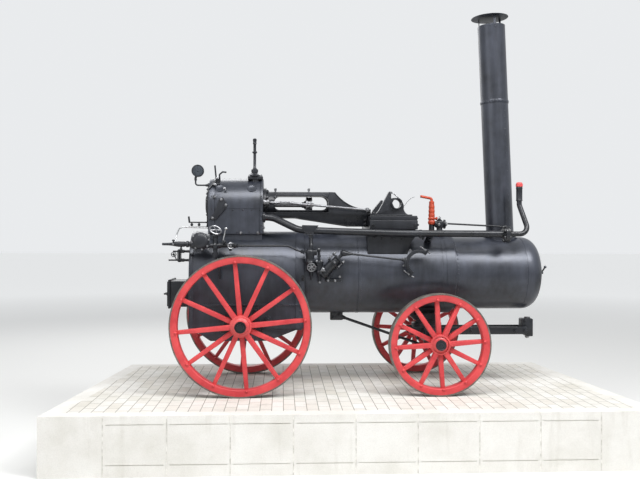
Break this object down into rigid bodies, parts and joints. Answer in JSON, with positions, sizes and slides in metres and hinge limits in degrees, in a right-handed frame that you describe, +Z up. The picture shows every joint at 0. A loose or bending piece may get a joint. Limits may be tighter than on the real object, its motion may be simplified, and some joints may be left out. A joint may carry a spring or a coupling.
{
  "type": "portable steam engine",
  "caption": "Horse-drawn portable steam engine with firebox, barrel, smokebox, tall chimney, open cylinder motion and spoked wheels, standing on a blank display plinth.",
  "frame": {"origin": "centre of the plinth's base", "axes": "+X from the firebox to the smokebox and the draw bar, +Y to the engine's far side, +Z up"},
  "size_m": [5.19, 2.6, 4.2177],
  "materials": {
    "plinth_stone": "pale cast concrete with light weathering",
    "boiler_black": "graphite black paint, satin, dusty",
    "fitting_black": "black painted castings, satin",
    "dull_steel": "old oiled steel",
    "wheel_red": "painted wood, sun-faded red",
    "hub_red": "painted iron, sun-faded red",
    "tyre_iron": "worn bare iron tread",
    "valve_red": "orange-red paint, worn",
    "gauge_face": "aged dial card"
  },
  "bodies": {
    "engine": {"plinth": "plinth_stone", "firebox_shell": "boiler_black", "ash_pan": "boiler_black", "fire_mouth": "boiler_black", "boiler_barrel": "boiler_black", "smokebox": "boiler_black", "chimney": "boiler_black", "cylinder_block": "boiler_black", "cylinder_cover": "fitting_black", "guide_frame": "fitting_black", "crosshead": "dull_steel", "valve_rod": "dull_steel", "crank_base": "fitting_black", "crank_bearings": "fitting_black", "exhaust_pipe": "boiler_black", "exhaust_riser": "boiler_black", "whistle_column": "fitting_black", "pressure_gauge": "fitting_black", "blower_valve": "fitting_black", "steam_valve": "valve_red", "injector": "fitting_black", "feed_pipe": "fitting_black", "feed_pump": "fitting_black", "pump_rod": "fitting_black", "water_gauge": "fitting_black", "rear_axle": "fitting_black", "front_saddle": "fitting_black", "stay_rod": "fitting_black"},
    "fire_door": {"fire_door": "fitting_black"},
    "smokebox_door": {"smokebox_door": "boiler_black"},
    "fore_carriage": {"fore_carriage": "fitting_black", "drawbar": "fitting_black", "coupling_pin": "dull_steel"},
    "rear_wheel_near": {"rear_wheel_near": "wheel_red", "rear_tyre_near": "tyre_iron", "rear_hub_near": "hub_red"},
    "rear_wheel_far": {"rear_wheel_far": "wheel_red", "rear_tyre_far": "tyre_iron", "rear_hub_far": "hub_red"},
    "front_wheel_near": {"front_wheel_near": "wheel_red", "front_tyre_near": "tyre_iron", "front_hub_near": "hub_red"},
    "front_wheel_far": {"front_wheel_far": "wheel_red", "front_tyre_far": "tyre_iron", "front_hub_far": "hub_red"}
  },
  "joints": [
    {"name": "steering", "type": "hinge", "parent": "engine", "child": "fore_carriage", "pos_m": [0.847, 0.05, 0.9753], "axis": [0, 0, 1], "range_deg": [-30, 30]},
    {"name": "rear_wheel_near_roll", "type": "hinge", "parent": "engine", "child": "rear_wheel_near", "pos_m": [-0.99, -0.592, 1.1503], "axis": [0, 1, 0], "continuous": true},
    {"name": "rear_wheel_far_roll", "type": "hinge", "parent": "engine", "child": "rear_wheel_far", "pos_m": [-0.99, 0.692, 1.1503], "axis": [0, 1, 0], "continuous": true},
    {"name": "front_wheel_near_roll", "type": "hinge", "parent": "fore_carriage", "child": "front_wheel_near", "pos_m": [0.847, -0.592, 0.9753], "axis": [0, 1, 0], "continuous": true},
    {"name": "front_wheel_far_roll", "type": "hinge", "parent": "fore_carriage", "child": "front_wheel_far", "pos_m": [0.847, 0.692, 0.9753], "axis": [0, 1, 0], "continuous": true},
    {"name": "smokebox_door_swing", "type": "hinge", "parent": "engine", "child": "smokebox_door", "pos_m": [1.9633, 0.276, 1.6153], "axis": [0, 0, 1], "range_deg": [0, 120]},
    {"name": "fire_door_swing", "type": "hinge", "parent": "engine", "child": "fire_door", "pos_m": [-1.7273, 0.256, 1.4153], "axis": [0, 0, -1], "range_deg": [0, 110]}
  ]
}
